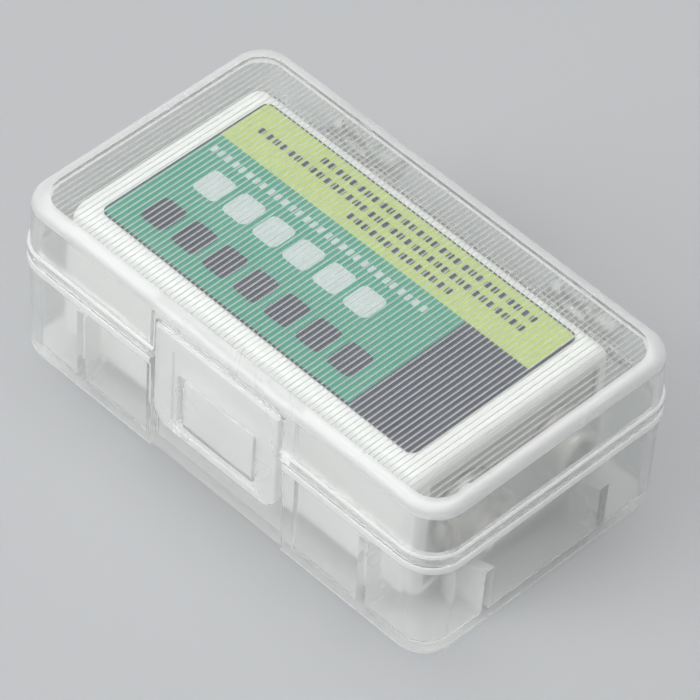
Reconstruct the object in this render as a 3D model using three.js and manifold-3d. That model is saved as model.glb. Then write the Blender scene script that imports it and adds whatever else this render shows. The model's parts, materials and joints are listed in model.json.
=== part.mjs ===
// A moulded storage case with a hinged lid and a latch flap, holding one nine-volt block battery.
// Millimetres. X runs along the long side, the latch faces -Y, the hinge is at +Y and Z = 0 is underneath.
import * as THREE from "three";
import { mergeVertices } from "three/addons/utils/BufferGeometryUtils.js";
import Module from "manifold-3d";

const wasm = await Module();
wasm.setup();

// Case, outside sizes taken over the rim
const CASE_LENGTH = 58;
const CASE_WIDTH = 34;
const CASE_HEIGHT = 21;
const RIM_RADIUS = 4.1;
const WALL = 1.2;
const PARTING = 13.6;
const RIM_GAP = 0.3;
const TRAY_BEAD = 1;
const LID_BEAD = 1.25;
const BEAD_PROUD = 0.25;
const BEAD_EDGE = 0.12;
const BASE_DRAFT = 0.25;
const LID_DRAFT = 0.1;
const BOTTOM_EDGE_RADIUS = 1;
const TOP_EDGE_RADIUS = 1.3;
const TRAY_INNER_RADIUS = 0.8;
const LID_INNER_RADIUS = 0.2;
const CORNER_STEPS = 7;
const EDGE_STEPS = 3;

// Overlapping joint between the two rims: a tongue on the tray inside a lip of the lid
const LIP_THICKNESS = 0.65;
const TONGUE_THICKNESS = 0.55;
const TONGUE_HEIGHT = 1;

// Reeded panel of the lid
const PANEL_LENGTH = 53.2;
const PANEL_WIDTH = 29;
const PANEL_RADIUS = 2.8;
const REED_PITCH = 0.615;
const REED_DEPTH = 0.2;
const REED_TOP_WIDTH = 0.34;
const REED_FLOOR_WIDTH = 0.12;

// Latch at the front: a flap on the lid whose window hooks under a catch on the tray
const FLAP_WIDTH = 16.9;
const FLAP_BOTTOM = 5.65;
const FLAP_TOP = 18.85;
const FLAP_THICKNESS = 1;
const FLAP_CORNER_RADIUS = 2.2;
const FLAP_EDGE_RADIUS = 0.25;
const FLAP_HINGE_GAP = 0.15;
const WINDOW_WIDTH = 10.8;
const WINDOW_BOTTOM = 6.75;
const WINDOW_TOP = 14;
const WINDOW_RADIUS = 0.5;
const DISH_WIDTH = 11.9;
const DISH_TOP = 17.2;
const DISH_DEPTH = 0.25;
const RECESS_FACE = 15.7;
const RECESS_WALL = 1.1;
const LID_RECESS_WIDTH = 17.5;
const TRAY_RECESS_WIDTH = 18.2;
const CATCH_WIDTH = 9.6;
const CATCH_TIP = 16.5;
const CATCH_TOP = 13.2;
const CATCH_SHOULDER = 11;
const CATCH_HOOK = 8.05;
const CATCH_ROOT = 7.05;

// Hinge at the back: lid lugs between tray knuckles on short wire pins
const HINGE_Y = 18.8;
const HINGE_Z = 13.75;
const KNUCKLE_RADIUS = 1.5;
const PIN_RADIUS = 0.7;
const PIN_CLEARANCE = 0.1;
const HINGE_SPACING = 30;
const LUG_WIDTH = 3.4;
const KNUCKLE_WIDTH = 2.3;
const HINGE_SIDE_GAP = 0.3;
const GUSSET_REACH = 1.2;
const GUSSET_DROP = 0.75;
const GUSSET_HEIGHT = 4.5;
const ROUND_STEPS = 20;

// Ribs that hold the battery
const FLOOR_RIB_X = 19.5;
const RIB_THICKNESS = 1.2;
const FLOOR_RIB_TOP = 2.5;
const SIDE_RIB_TOP = 11;
const SIDE_RIB_CLEAR = 13.3;
const END_RIB_Y = 7.8;
const END_RIB_TOP = 7.6;
const END_RIB_LEAD = 1.4;
const END_RIB_GAP = 0.35;

// Battery, lying on its side with its terminals at +X
const BATTERY_START = -25;
const BATTERY_LENGTH = 48;
const BATTERY_WIDTH = 26;
const BATTERY_THICKNESS = 16.3;
const BATTERY_BOTTOM = 2.6;
const BATTERY_RADIUS = 1.8;
const JACKET_WALL = 0.4;
const JACKET_CRIMP = 1.2;
const JACKET_SHOULDER = 1.1;
const SHOULDER_STEPS = 3;
const BATTERY_STEPS = 5;
const PLATE_THICKNESS = 0.9;
const PLATE_GAP = 0.1;
const TERMINAL_SPACING = 12.7;
const TERMINAL_HEIGHT = 2.2;
const STUD_RADIUS = 2.85;
const STUD_FLANGE = 0.9;
const STUD_WAIST = 0.2;
const STUD_CROWN = 0.6;
const STUD_SHOULDER = 1.2;
const SOCKET_RADIUS = 4.1;
const SOCKET_FOOT_RADIUS = 3.9;
const SOCKET_WAIST_RADIUS = 3.65;
const SOCKET_FLARE = 1.1;
const SOCKET_SLITS = 3;
const SLIT_WIDTH = 0.6;
const SHEET_METAL = 0.35;
const RIVET_RADIUS = 0.75;
const RIVET_HEAD = 1.55;
const RIVET_SHEET = 0.3;
const CELL_COUNT = 7;
const CELL_PITCH = 6.1;
const CELL_THICKNESS = 5.85;
const CELL_WIDTH = 23.8;
const CELL_HEIGHT = 14.2;
const CELL_RADIUS = 1.8;
const CELL_START = 2.35;
const CELL_EDGE = 0.4;
const PAD_THICKNESS = 0.5;
const STRIP_THICKNESS = 0.2;
const STRIP_WIDTH = 4;
const LABEL_START = 2.6;
const LABEL_LENGTH = 42.6;
const LABEL_WIDTH = 22.5;
const LABEL_THICKNESS = 0.15;
const LABEL_GAP = 0.05;
const LABEL_RADIUS = 1.4;

const PAST = 1; // how far a cutter runs past the face it cuts

const CLEAR_PLASTIC = { color: 0xdfe3e4, roughness: 0.35, metalness: 0 };
const STEEL = { color: 0xb9bcc0, roughness: 0.3, metalness: 1 };
const NICKEL = { color: 0xc9c4b8, roughness: 0.28, metalness: 1 };
const WHITE_FILM = { color: 0xf2f3f1, roughness: 0.4, metalness: 0 };
const PRINTED_FILM = { color: 0x3f9e86, roughness: 0.35, metalness: 0 };
const BOARD = { color: 0xbcbcba, roughness: 0.6, metalness: 0 };
const PAD = { color: 0xd8d2bd, roughness: 0.9, metalness: 0 };

// Turns a closed geometry into a solid.
function solid(geometry) {
  const bare = geometry.clone();
  bare.deleteAttribute("normal");
  bare.deleteAttribute("uv");
  const merged = mergeVertices(bare, 1e-5);
  const vertProperties = new Float32Array(merged.attributes.position.array);
  const triVerts = new Uint32Array(merged.index.array);
  return new wasm.Manifold(new wasm.Mesh({ numProp: 3, vertProperties, triVerts }));
}

// Makes a named mesh from a solid.
function piece(name, shape, finish) {
  const made = shape.getMesh();
  const geometry = new THREE.BufferGeometry();
  geometry.setAttribute("position", new THREE.BufferAttribute(made.vertProperties, 3));
  geometry.setIndex(new THREE.BufferAttribute(made.triVerts, 1));
  const faceted = geometry.toNonIndexed();
  faceted.computeVertexNormals();
  const mesh = new THREE.Mesh(faceted, new THREE.MeshStandardMaterial(finish));
  mesh.name = name;
  return mesh;
}

// Points of a rounded rectangle about the origin, anticlockwise.
function roundedOutline(halfX, halfY, radius, steps = CORNER_STEPS) {
  const points = [];
  const centres = [[1, 1], [-1, 1], [-1, -1], [1, -1]];
  centres.forEach(([sx, sy], quarter) => {
    for (let i = 0; i <= steps; i++) {
      const angle = (quarter + i / steps) * Math.PI / 2;
      const x = sx * (halfX - radius) + radius * Math.cos(angle);
      const y = sy * (halfY - radius) + radius * Math.sin(angle);
      points.push([x, y]);
    }
  });
  return points;
}

// Closed solid through rings of equal point counts, from the lowest ring to the highest.
function loft(rings) {
  const count = rings[0].points.length;
  const positions = [];
  const index = [];
  rings.forEach(({ z, points }) => points.forEach(([x, y]) => positions.push(x, y, z)));
  for (let ring = 0; ring + 1 < rings.length; ring++) {
    for (let i = 0; i < count; i++) {
      const a = ring * count + i;
      const b = ring * count + (i + 1) % count;
      index.push(a, b, b + count, a, b + count, a + count);
    }
  }
  const last = (rings.length - 1) * count;
  for (let i = 1; i + 1 < count; i++) {
    index.push(0, i + 1, i);
    index.push(last, last + i, last + i + 1);
  }
  const geometry = new THREE.BufferGeometry();
  geometry.setAttribute("position", new THREE.Float32BufferAttribute(positions, 3));
  geometry.setIndex(index);
  return solid(geometry);
}

// Loft of a rounded rectangle that is drawn in by a given inset at each height.
function insetLoft(length, width, radius, levels, steps = CORNER_STEPS) {
  return loft(levels.map(([z, inset]) => ({
    z,
    points: roundedOutline(length / 2 - inset, width / 2 - inset, radius - inset, steps),
  })));
}

function box(minimum, maximum) {
  const size = maximum.map((value, axis) => value - minimum[axis]);
  const geometry = new THREE.BoxGeometry(...size);
  geometry.translate(...minimum.map((value, axis) => value + size[axis] / 2));
  return solid(geometry);
}

// Solid between x = start and x = end with an outline given as [y, z] points.
function alongX(outline, start, end) {
  const shape = new THREE.Shape(outline.map(([y, z]) => new THREE.Vector2(y, z)));
  const geometry = new THREE.ExtrudeGeometry(shape, { depth: end - start, bevelEnabled: false });
  const axes = new THREE.Matrix4().makeBasis(
    new THREE.Vector3(0, 1, 0),
    new THREE.Vector3(0, 0, 1),
    new THREE.Vector3(1, 0, 0),
  );
  geometry.applyMatrix4(axes);
  geometry.translate(start, 0, 0);
  return solid(geometry);
}

function rodAlongX(radius, start, end, y, z) {
  const geometry = new THREE.CylinderGeometry(radius, radius, end - start, ROUND_STEPS);
  geometry.rotateZ(-Math.PI / 2);
  geometry.translate((start + end) / 2, y, z);
  return solid(geometry);
}

// Levels of a quarter-round edge that opens from inset + radius at z to inset at z + radius.
function lowerEdge(z, inset, radius) {
  const levels = [];
  for (let i = 0; i <= EDGE_STEPS; i++) {
    const angle = i / EDGE_STEPS * Math.PI / 2;
    levels.push([z + radius * (1 - Math.cos(angle)), inset + radius * (1 - Math.sin(angle))]);
  }
  return levels;
}

function upperEdge(z, inset, radius) {
  return lowerEdge(0, inset, radius).reverse().map(([rise, at]) => [z - rise, at]);
}

// Block that carries the wall behind the latch, from the parting face towards the floor or the lid's top.
function recessBlock(width, bottom, top) {
  const half = width / 2 + RECESS_WALL;
  return box([-half, -(CASE_WIDTH / 2 - BEAD_PROUD), bottom], [half, -(RECESS_FACE - RECESS_WALL), top]);
}

function recessCut(width, bottom, top) {
  return box([-width / 2, -CASE_WIDTH, bottom], [width / 2, -RECESS_FACE, top]);
}

function hingePlaces() {
  return [-HINGE_SPACING / 2, HINGE_SPACING / 2];
}

// Wedge with a sloping top, a flat tip and a sloping underside, so that the flap snaps over it both ways.
function catchWedge() {
  const root = -(RECESS_FACE - RECESS_WALL / 2);
  const outline = [
    [root, CATCH_ROOT],
    [root, CATCH_TOP],
    [-RECESS_FACE, CATCH_TOP],
    [-CATCH_TIP, CATCH_SHOULDER],
    [-CATCH_TIP, CATCH_HOOK],
    [-RECESS_FACE, CATCH_ROOT],
  ].reverse();
  return alongX(outline, -CATCH_WIDTH / 2, CATCH_WIDTH / 2);
}

// One cross rib: it lifts the battery off the floor and grips it between two uprights.
function cradleRib(x) {
  const wall = CASE_WIDTH / 2 - WALL;
  const outline = [
    [-wall, WALL / 2],
    [wall, WALL / 2],
    [wall, SIDE_RIB_TOP],
    [wall - BEAD_PROUD, SIDE_RIB_TOP],
    [SIDE_RIB_CLEAR, SIDE_RIB_TOP - END_RIB_LEAD],
    [SIDE_RIB_CLEAR, FLOOR_RIB_TOP],
    [-SIDE_RIB_CLEAR, FLOOR_RIB_TOP],
    [-SIDE_RIB_CLEAR, SIDE_RIB_TOP - END_RIB_LEAD],
    [-(wall - BEAD_PROUD), SIDE_RIB_TOP],
    [-wall, SIDE_RIB_TOP],
  ];
  return alongX(outline, x - RIB_THICKNESS / 2, x + RIB_THICKNESS / 2);
}

// One rib on a short wall, with a sloping lead-in, that stops the battery's end.
function endRib(side, y) {
  const wall = CASE_LENGTH / 2 - WALL;
  const batteryEnd = side > 0 ? BATTERY_START + BATTERY_LENGTH : -BATTERY_START;
  const reach = batteryEnd + END_RIB_GAP;
  const shape = new THREE.Shape();
  shape.moveTo(reach, WALL / 2);
  shape.lineTo(wall, WALL / 2);
  shape.lineTo(wall, END_RIB_TOP);
  shape.lineTo(reach, END_RIB_TOP - END_RIB_LEAD);
  const geometry = new THREE.ExtrudeGeometry(shape, { depth: RIB_THICKNESS, bevelEnabled: false });
  geometry.rotateX(Math.PI / 2);
  geometry.translate(0, y + RIB_THICKNESS / 2, 0);
  if (side < 0) {
    geometry.translate(0, -y, 0);
    geometry.rotateZ(Math.PI);
    geometry.translate(0, y, 0);
  }
  return solid(geometry);
}

// Two knuckles on gussets below the parting, one each side of a lid lug.
function trayKnuckles(x) {
  const wallFace = CASE_WIDTH / 2 - BEAD_PROUD - WALL / 2;
  const gusset = [
    [wallFace, PARTING - GUSSET_HEIGHT],
    [HINGE_Y + GUSSET_REACH, HINGE_Z - GUSSET_DROP],
    [HINGE_Y, HINGE_Z],
    [HINGE_Y - KNUCKLE_RADIUS, PARTING - RIM_GAP / 2],
    [wallFace, PARTING - RIM_GAP / 2],
  ];
  let made = null;
  for (const side of [-1, 1]) {
    const inner = x + side * (LUG_WIDTH / 2 + HINGE_SIDE_GAP);
    const outer = inner + side * KNUCKLE_WIDTH;
    const start = Math.min(inner, outer);
    const end = Math.max(inner, outer);
    const knuckle = rodAlongX(KNUCKLE_RADIUS, start, end, HINGE_Y, HINGE_Z).add(alongX(gusset, start, end));
    made = made ? made.add(knuckle) : knuckle;
  }
  return made;
}

// A lug that reaches back from the lid's rim to the hinge axis.
function lidLug(x) {
  const wallFace = CASE_WIDTH / 2 - BEAD_PROUD - WALL / 2;
  const foot = PARTING + RIM_GAP / 2;
  const arm = [
    [wallFace, foot],
    [HINGE_Y - KNUCKLE_RADIUS, foot],
    [HINGE_Y, HINGE_Z],
    [HINGE_Y + GUSSET_REACH, HINGE_Z + GUSSET_DROP],
    [wallFace, PARTING + GUSSET_HEIGHT],
  ];
  const start = x - LUG_WIDTH / 2;
  const end = x + LUG_WIDTH / 2;
  return rodAlongX(KNUCKLE_RADIUS, start, end, HINGE_Y, HINGE_Z).add(alongX(arm, start, end));
}

function pinBores() {
  const reach = LUG_WIDTH / 2 + HINGE_SIDE_GAP + KNUCKLE_WIDTH + PAST;
  const bore = PIN_RADIUS + PIN_CLEARANCE;
  const [left, right] = hingePlaces();
  return rodAlongX(bore, left - reach, left + reach, HINGE_Y, HINGE_Z)
    .add(rodAlongX(bore, right - reach, right + reach, HINGE_Y, HINGE_Z));
}

// Lower shell: rim bead and tongue, a full-height pocket for the latch, and the ribs that hold the battery.
function trayBase() {
  const rimTop = PARTING - RIM_GAP / 2;
  const beadBottom = rimTop - TRAY_BEAD;
  const tongueInset = LIP_THICKNESS + RIM_GAP;
  const cavityInset = tongueInset + TONGUE_THICKNESS;
  const tongueTop = rimTop + TONGUE_HEIGHT;
  const outer = insetLoft(CASE_LENGTH, CASE_WIDTH, RIM_RADIUS, [
    ...lowerEdge(0, BEAD_PROUD + BASE_DRAFT, BOTTOM_EDGE_RADIUS),
    [beadBottom, BEAD_PROUD],
    [beadBottom + BEAD_EDGE, 0],
    [rimTop - BEAD_EDGE, 0],
    [rimTop, BEAD_EDGE],
    [rimTop, tongueInset],
    [tongueTop - BEAD_EDGE, tongueInset],
    [tongueTop, tongueInset + BEAD_EDGE],
  ]);
  const cavity = insetLoft(CASE_LENGTH, CASE_WIDTH, RIM_RADIUS, [
    ...lowerEdge(WALL, cavityInset + BEAD_EDGE, TRAY_INNER_RADIUS),
    [tongueTop + PAST, cavityInset],
  ]).subtract(recessBlock(TRAY_RECESS_WIDTH, 0, rimTop));
  const tongueGap = TRAY_RECESS_WIDTH / 2 + RECESS_WALL + RIM_GAP;
  const frontTongue = box([-tongueGap, -CASE_WIDTH, rimTop], [tongueGap, 0, CASE_HEIGHT]);
  let tray = outer.subtract(cavity);
  tray = tray.subtract(recessCut(TRAY_RECESS_WIDTH, -PAST, CASE_HEIGHT)).subtract(frontTongue);
  tray = tray.add(cradleRib(-FLOOR_RIB_X)).add(cradleRib(FLOOR_RIB_X));
  for (const side of [-1, 1]) {
    for (const y of [-END_RIB_Y, END_RIB_Y]) tray = tray.add(endRib(side, y));
  }
  tray = tray.add(catchWedge());
  for (const x of hingePlaces()) tray = tray.add(trayKnuckles(x));
  return tray.subtract(pinBores());
}

// Comb of grooves across the lid, kept inside the rounded panel.
function reedGrooves() {
  const count = Math.floor(PANEL_LENGTH / REED_PITCH);
  const first = -(count - 1) * REED_PITCH / 2;
  const floor = CASE_HEIGHT - REED_DEPTH;
  const outline = [];
  for (let i = 0; i < count; i++) {
    const x = first + i * REED_PITCH;
    outline.push([x - REED_TOP_WIDTH / 2, CASE_HEIGHT]);
    outline.push([x - REED_FLOOR_WIDTH / 2, floor]);
    outline.push([x + REED_FLOOR_WIDTH / 2, floor]);
    outline.push([x + REED_TOP_WIDTH / 2, CASE_HEIGHT]);
  }
  const start = outline[0][0];
  const end = outline[outline.length - 1][0];
  outline.push([end, CASE_HEIGHT + PAST], [start, CASE_HEIGHT + PAST]);
  const shape = new THREE.Shape(outline.map(([x, z]) => new THREE.Vector2(x, z)));
  const comb = new THREE.ExtrudeGeometry(shape, { depth: PANEL_WIDTH, bevelEnabled: false });
  comb.rotateX(Math.PI / 2);
  comb.translate(0, PANEL_WIDTH / 2, 0);
  const panel = insetLoft(PANEL_LENGTH, PANEL_WIDTH, PANEL_RADIUS, [
    [floor - PAST, 0],
    [CASE_HEIGHT + 2 * PAST, 0],
  ]);
  return solid(comb).intersect(panel);
}

// Upper shell: a lip over the tray's tongue, a pocket for the flap and the reeded panel.
function lidShell() {
  const rimBottom = PARTING + RIM_GAP / 2;
  const beadTop = rimBottom + LID_BEAD;
  const channelTop = PARTING - RIM_GAP / 2 + TONGUE_HEIGHT + RIM_GAP;
  const cavityInset = LIP_THICKNESS + RIM_GAP + TONGUE_THICKNESS;
  const underside = CASE_HEIGHT - WALL;
  const outer = insetLoft(CASE_LENGTH, CASE_WIDTH, RIM_RADIUS, [
    [rimBottom, BEAD_EDGE],
    [rimBottom + BEAD_EDGE, 0],
    [beadTop - BEAD_EDGE, 0],
    [beadTop, BEAD_PROUD],
    ...upperEdge(CASE_HEIGHT, BEAD_PROUD + LID_DRAFT, TOP_EDGE_RADIUS),
  ]);
  const cavity = insetLoft(CASE_LENGTH, CASE_WIDTH, RIM_RADIUS, [
    [rimBottom - PAST, LIP_THICKNESS],
    [channelTop, LIP_THICKNESS],
    [channelTop, cavityInset],
    ...upperEdge(underside, cavityInset + LID_DRAFT, LID_INNER_RADIUS),
  ]).subtract(recessBlock(LID_RECESS_WIDTH, rimBottom, CASE_HEIGHT));
  let lid = outer.subtract(cavity);
  lid = lid.subtract(recessCut(LID_RECESS_WIDTH, 0, FLAP_TOP + FLAP_HINGE_GAP));
  lid = lid.subtract(reedGrooves());
  for (const x of hingePlaces()) lid = lid.add(lidLug(x));
  return lid.subtract(pinBores());
}

// Outline of the flap seen from the front, with its window; x runs right and y is height.
function flapShape() {
  const half = FLAP_WIDTH / 2 - FLAP_EDGE_RADIUS;
  const bottom = FLAP_BOTTOM + FLAP_EDGE_RADIUS;
  const top = FLAP_TOP - FLAP_EDGE_RADIUS;
  const radius = FLAP_CORNER_RADIUS - FLAP_EDGE_RADIUS;
  const shape = new THREE.Shape();
  shape.moveTo(half, top);
  shape.lineTo(-half, top);
  shape.lineTo(-half, bottom + radius);
  shape.absarc(-half + radius, bottom + radius, radius, Math.PI, 1.5 * Math.PI, false);
  shape.absarc(half - radius, bottom + radius, radius, 1.5 * Math.PI, 2 * Math.PI, false);
  shape.lineTo(half, top);
  return shape;
}

function panelPrism(width, bottom, top, radius, start, depth) {
  const centre = (bottom + top) / 2;
  const shape = new THREE.Shape(
    roundedOutline(width / 2, (top - bottom) / 2, radius, EDGE_STEPS)
      .map(([x, z]) => new THREE.Vector2(x, z + centre)),
  );
  const geometry = new THREE.ExtrudeGeometry(shape, { depth, bevelEnabled: false });
  geometry.rotateX(Math.PI / 2);
  geometry.translate(0, start + depth, 0);
  return solid(geometry);
}

function latchFlap() {
  const face = -CASE_WIDTH / 2;
  const geometry = new THREE.ExtrudeGeometry(flapShape(), {
    depth: FLAP_THICKNESS - 2 * FLAP_EDGE_RADIUS,
    bevelThickness: FLAP_EDGE_RADIUS,
    bevelSize: FLAP_EDGE_RADIUS,
    bevelSegments: 2,
    curveSegments: CORNER_STEPS,
  });
  geometry.rotateX(Math.PI / 2);
  geometry.translate(0, face + FLAP_THICKNESS - FLAP_EDGE_RADIUS, 0);
  const window = panelPrism(
    WINDOW_WIDTH, WINDOW_BOTTOM, WINDOW_TOP, WINDOW_RADIUS, face - PAST, FLAP_THICKNESS + 2 * PAST,
  );
  const dish = panelPrism(
    DISH_WIDTH, WINDOW_BOTTOM, DISH_TOP, WINDOW_RADIUS, face - PAST, DISH_DEPTH + PAST,
  );
  return solid(geometry).subtract(window).subtract(dish);
}

function hingePin(x) {
  const reach = LUG_WIDTH / 2 + HINGE_SIDE_GAP + KNUCKLE_WIDTH;
  return rodAlongX(PIN_RADIUS, x - reach, x + reach, HINGE_Y, HINGE_Z);
}

// The battery is drawn upright: z from its base to its terminals, x across its width, y its thickness.
function jacket() {
  const crimp = JACKET_WALL;
  const top = BATTERY_LENGTH;
  const levels = [];
  for (let i = 0; i <= SHOULDER_STEPS; i++) {
    const angle = (i / SHOULDER_STEPS) * Math.PI / 2;
    const depth = JACKET_SHOULDER * (1 - Math.sin(angle));
    const inset = JACKET_SHOULDER * (1 - Math.cos(angle));
    levels.unshift([depth, inset]);
    levels.push([top - depth, inset]);
  }
  const outer = insetLoft(BATTERY_WIDTH, BATTERY_THICKNESS, BATTERY_RADIUS, levels, BATTERY_STEPS);
  const lip = JACKET_WALL + JACKET_CRIMP;
  const bore = insetLoft(BATTERY_WIDTH, BATTERY_THICKNESS, BATTERY_RADIUS, [
    [-PAST, lip],
    [crimp, lip],
    [crimp, JACKET_WALL],
    [top - crimp, JACKET_WALL],
    [top - crimp, lip],
    [top + PAST, lip],
  ], BATTERY_STEPS);
  return outer.subtract(bore);
}

function plate(bottom, thickness) {
  const inset = JACKET_WALL + PLATE_GAP;
  return insetLoft(BATTERY_WIDTH, BATTERY_THICKNESS, BATTERY_RADIUS, [
    [bottom, inset],
    [bottom + thickness, inset],
  ], BATTERY_STEPS);
}

function lathe(profile, x) {
  const points = profile.map(([radius, z]) => new THREE.Vector2(radius, z));
  points.push(points[0].clone());
  const geometry = new THREE.LatheGeometry(points, ROUND_STEPS);
  geometry.rotateX(Math.PI / 2);
  geometry.translate(x, 0, 0);
  return solid(geometry);
}

const BOARD_BOTTOM = BATTERY_LENGTH - JACKET_WALL - PLATE_GAP - PLATE_THICKNESS;
const BOARD_TOP = BOARD_BOTTOM + PLATE_THICKNESS;
const TERMINAL_FOOT = BOARD_TOP + PLATE_GAP;
const TERMINAL_TOP = BATTERY_LENGTH + TERMINAL_HEIGHT;

function terminalBoard() {
  const hole = (x) => lathe([
    [0, BOARD_BOTTOM - PAST],
    [RIVET_RADIUS + PLATE_GAP, BOARD_BOTTOM - PAST],
    [RIVET_RADIUS + PLATE_GAP, BOARD_TOP + PAST],
    [0, BOARD_TOP + PAST],
  ], x);
  return plate(BOARD_BOTTOM, PLATE_THICKNESS)
    .subtract(hole(TERMINAL_SPACING / 2))
    .subtract(hole(-TERMINAL_SPACING / 2));
}

// Round stud drawn from sheet: a foot flange, a waisted side and an open top round the rivet.
function positiveStud() {
  const bore = RIVET_RADIUS + PLATE_GAP;
  return lathe([
    [bore, TERMINAL_FOOT],
    [STUD_RADIUS + STUD_FLANGE, TERMINAL_FOOT],
    [STUD_RADIUS + STUD_FLANGE, TERMINAL_FOOT + SHEET_METAL],
    [STUD_RADIUS - STUD_WAIST, TERMINAL_FOOT + SHEET_METAL],
    [STUD_RADIUS - STUD_WAIST, TERMINAL_TOP - STUD_SHOULDER],
    [STUD_RADIUS, TERMINAL_TOP - STUD_CROWN],
    [STUD_RADIUS - STUD_WAIST, TERMINAL_TOP - STUD_WAIST],
    [STUD_RADIUS - STUD_CROWN, TERMINAL_TOP],
    [STUD_RADIUS - STUD_CROWN - SHEET_METAL, TERMINAL_TOP - STUD_WAIST],
    [STUD_RADIUS - STUD_WAIST - STUD_FLANGE, TERMINAL_FOOT + SHEET_METAL],
    [bore, TERMINAL_FOOT + SHEET_METAL],
  ], TERMINAL_SPACING / 2);
}

// Socket with six spring petals that flare outwards.
function negativeSocket() {
  const bore = RIVET_RADIUS + PLATE_GAP;
  const x = -TERMINAL_SPACING / 2;
  let made = lathe([
    [bore, TERMINAL_FOOT],
    [SOCKET_FOOT_RADIUS, TERMINAL_FOOT],
    [SOCKET_WAIST_RADIUS, TERMINAL_TOP - SOCKET_FLARE],
    [SOCKET_RADIUS, TERMINAL_TOP],
    [SOCKET_RADIUS - SHEET_METAL, TERMINAL_TOP],
    [SOCKET_WAIST_RADIUS - SHEET_METAL, TERMINAL_TOP - SOCKET_FLARE],
    [SOCKET_FOOT_RADIUS - SHEET_METAL, TERMINAL_FOOT + SHEET_METAL],
    [bore, TERMINAL_FOOT + SHEET_METAL],
  ], x);
  const slit = new THREE.BoxGeometry(2 * SOCKET_RADIUS + PAST, SLIT_WIDTH, TERMINAL_TOP);
  slit.translate(0, 0, TERMINAL_TOP / 2 + TERMINAL_FOOT + 2 * SHEET_METAL);
  for (let i = 0; i < SOCKET_SLITS; i++) {
    const turned = slit.clone();
    turned.rotateZ((i + 0.5) * Math.PI / SOCKET_SLITS);
    turned.translate(x, 0, 0);
    made = made.subtract(solid(turned));
  }
  return made;
}

// Eyelet rivet through a terminal and the board.
function rivet(x) {
  const head = TERMINAL_FOOT + SHEET_METAL + PLATE_GAP;
  const tail = BOARD_BOTTOM - PLATE_GAP;
  return lathe([
    [0, tail - RIVET_SHEET],
    [RIVET_HEAD, tail - RIVET_SHEET],
    [RIVET_HEAD, tail],
    [RIVET_RADIUS, tail],
    [RIVET_RADIUS, head],
    [RIVET_HEAD, head],
    [RIVET_HEAD - RIVET_SHEET / 2, head + RIVET_SHEET],
    [RIVET_RADIUS, head + RIVET_SHEET],
    [RIVET_RADIUS - RIVET_SHEET, head],
    [0, head],
  ], x);
}

function cell(index) {
  const bottom = CELL_START + index * CELL_PITCH;
  return insetLoft(CELL_WIDTH, CELL_HEIGHT, CELL_RADIUS, [
    [bottom, CELL_EDGE],
    [bottom + CELL_EDGE, 0],
    [bottom + CELL_THICKNESS - CELL_EDGE, 0],
    [bottom + CELL_THICKNESS, CELL_EDGE],
  ], EDGE_STEPS);
}

const CELLS_TOP = CELL_START + CELL_COUNT * CELL_PITCH;

function insulatingPad(bottom) {
  return insetLoft(CELL_WIDTH, CELL_HEIGHT, CELL_RADIUS, [
    [bottom, 0],
    [bottom + PAD_THICKNESS, 0],
  ], EDGE_STEPS);
}

// Flat strip that leads from under the lowest cell up one side to the negative rivet.
function leadStrip() {
  const outside = -(BATTERY_WIDTH / 2 - JACKET_WALL - PLATE_GAP - STRIP_THICKNESS / 2);
  const bottom = CELL_START - PLATE_GAP / 2 - STRIP_THICKNESS;
  const top = CELLS_TOP + PAD_THICKNESS + PLATE_GAP + STRIP_THICKNESS;
  const shape = new THREE.Shape();
  shape.moveTo(outside, bottom);
  shape.lineTo(-CELL_WIDTH / 4, bottom);
  shape.lineTo(-CELL_WIDTH / 4, bottom + STRIP_THICKNESS);
  shape.lineTo(outside + STRIP_THICKNESS, bottom + STRIP_THICKNESS);
  shape.lineTo(outside + STRIP_THICKNESS, top - STRIP_THICKNESS);
  shape.lineTo(-CELL_WIDTH / 4, top - STRIP_THICKNESS);
  shape.lineTo(-CELL_WIDTH / 4, top);
  shape.lineTo(outside, top);
  const geometry = new THREE.ExtrudeGeometry(shape, { depth: STRIP_WIDTH, bevelEnabled: false });
  geometry.rotateX(Math.PI / 2);
  geometry.translate(0, STRIP_WIDTH / 2, 0);
  return solid(geometry);
}

function label() {
  const surface = BATTERY_THICKNESS / 2 + LABEL_GAP;
  const shape = new THREE.Shape(
    roundedOutline(LABEL_WIDTH / 2, LABEL_LENGTH / 2, LABEL_RADIUS, BATTERY_STEPS)
      .map(([x, z]) => new THREE.Vector2(x, z + LABEL_START + LABEL_LENGTH / 2)),
  );
  const geometry = new THREE.ExtrudeGeometry(shape, { depth: LABEL_THICKNESS, bevelEnabled: false });
  geometry.rotateX(Math.PI / 2);
  geometry.translate(0, surface + LABEL_THICKNESS, 0);
  return solid(geometry);
}

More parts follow.
